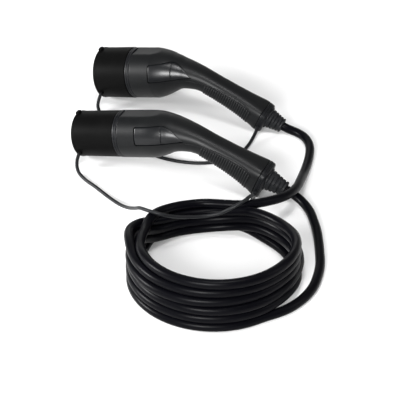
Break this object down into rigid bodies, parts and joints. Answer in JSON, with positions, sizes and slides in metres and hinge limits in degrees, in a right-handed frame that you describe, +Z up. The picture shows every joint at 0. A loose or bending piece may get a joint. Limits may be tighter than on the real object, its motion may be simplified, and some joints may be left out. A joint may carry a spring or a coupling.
{
  "type": "electric vehicle charging cable",
  "caption": "Charging cable for an electric car: plug and coupler with bent handles and tethered dust caps, joined by one coiled black cable.",
  "frame": {"origin": "on the floor, under the middle of the two connectors (the cable, coil and tethers are not counted)", "axes": "+Z up; -Y towards the coil, which lies in front of the connectors; +X towards the side that both cables leave"},
  "size_m": [0.3106, 0.5741, 0.0828],
  "materials": {
    "housing_plastic": "fine moulded grain, nearly black",
    "panel_plastic": "finer grain than the housing, dark grey",
    "grip_rubber": "soft-touch, ribbed",
    "collar_plastic": "smooth moulded",
    "boot_rubber": "matt moulded rubber",
    "cap_rubber": "matt moulded rubber",
    "cable_sheath": "smooth sheath with a slight sheen",
    "tether_rubber": "smooth moulded cord",
    "contact_plastic": "glass-filled moulding",
    "contact_silver": "silver-plated copper alloy",
    "seal_silicone": "brick-red silicone",
    "inner_plastic": "plain inner moulding",
    "screw_steel": "zinc-plated",
    "core_insulation": "brown core insulation"
  },
  "bodies": {
    "root": {"plug_housing": "housing_plastic", "plug_end_ring": "collar_plastic", "plug_grip": "grip_rubber", "plug_panel_left": "panel_plastic", "plug_panel_right": "panel_plastic", "plug_front_collar": "collar_plastic", "plug_contact_block": "contact_plastic", "plug_block_plate": "inner_plastic", "plug_pin_pe": "contact_silver", "plug_pin_n": "contact_silver", "plug_pin_l1": "contact_silver", "plug_pin_l2": "contact_silver", "plug_pin_l3": "contact_silver", "plug_pin_cp": "contact_silver", "plug_pin_pp": "contact_silver", "plug_seal": "seal_silicone", "plug_clamp_saddle": "inner_plastic", "plug_clamp_bridge": "inner_plastic", "plug_clamp_screws": "screw_steel", "plug_cores": "core_insulation", "plug_sheath": "cable_sheath", "plug_boot": "boot_rubber", "plug_tether": "tether_rubber", "coupler_housing": "housing_plastic", "coupler_end_ring": "collar_plastic", "coupler_grip": "grip_rubber", "coupler_panel_left": "panel_plastic", "coupler_panel_right": "panel_plastic", "coupler_front_collar": "collar_plastic", "coupler_contact_block": "contact_plastic", "coupler_block_plate": "inner_plastic", "coupler_sleeve_pe": "contact_silver", "coupler_sleeve_n": "contact_silver", "coupler_sleeve_l1": "contact_silver", "coupler_sleeve_l2": "contact_silver", "coupler_sleeve_l3": "contact_silver", "coupler_sleeve_cp": "contact_silver", "coupler_sleeve_pp": "contact_silver", "coupler_seal": "seal_silicone", "coupler_clamp_saddle": "inner_plastic", "coupler_clamp_bridge": "inner_plastic", "coupler_clamp_screws": "screw_steel", "coupler_cores": "core_insulation", "coupler_sheath": "cable_sheath", "coupler_boot": "boot_rubber", "coupler_tether": "tether_rubber", "cable_coil": "cable_sheath", "cable_plug_tail": "cable_sheath", "cable_coupler_tail": "cable_sheath"},
    "plug_cap_body": {"plug_cap": "cap_rubber"},
    "coupler_cap_body": {"coupler_cap": "cap_rubber"}
  },
  "joints": [
    {"name": "plug_cap_pull", "type": "slide", "parent": "root", "child": "plug_cap_body", "axis": [-0.8936, 0.3885, -0.225], "range_m": [0, 0.052]},
    {"name": "coupler_cap_pull", "type": "slide", "parent": "root", "child": "coupler_cap_body", "axis": [-0.8977, 0.3903, -0.2045], "range_m": [0, 0.041]}
  ]
}
